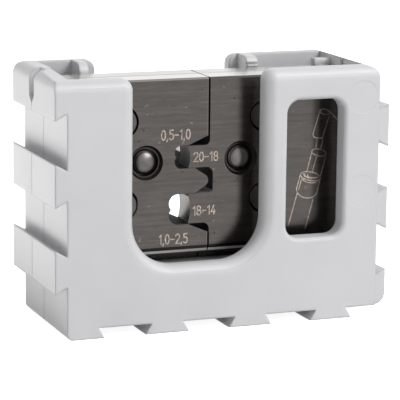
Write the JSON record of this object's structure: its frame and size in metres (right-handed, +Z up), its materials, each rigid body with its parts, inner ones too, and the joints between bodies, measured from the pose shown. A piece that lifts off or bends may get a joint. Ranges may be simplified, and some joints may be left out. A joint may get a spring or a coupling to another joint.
{
  "type": "crimping die set in holder",
  "caption": "Pair of laminated steel crimping dies for open plug connectors, standing in a moulded plastic holder with dovetail rails.",
  "frame": {"origin": "middle of the footprint, on the face of the bottom tongues that the holder stands on", "axes": "+X to the right seen from the front, along the row of neighbouring holders; +Y to the back; +Z up"},
  "size_m": [0.0804, 0.0324, 0.0584],
  "materials": {
    "holder_plastic": "satin moulded, light grey",
    "die_steel": "black oxide over fine grinding marks",
    "pin_steel": "hardened, dark and smooth"
  },
  "bodies": {
    "holder": {"holder_front_shell": "holder_plastic", "holder_rear_shell": "holder_plastic"},
    "anvil_die": {"anvil_front_plate": "die_steel", "anvil_rear_plate": "die_steel", "anvil_dowel_pins": "pin_steel", "anvil_lock_stud": "pin_steel"},
    "nest_die": {"nest_front_plate": "die_steel", "nest_rear_plate": "die_steel", "nest_dowel_pins": "pin_steel", "nest_lock_stud": "pin_steel"}
  },
  "joints": [
    {"name": "pair_lift_out", "type": "slide", "parent": "holder", "child": "anvil_die", "axis": [0, 0, 1], "range_m": [0, 0.05]},
    {"name": "nest_end_play", "type": "slide", "parent": "anvil_die", "child": "nest_die", "axis": [-1, 0, 0], "range_m": [0, 0.001]}
  ]
}
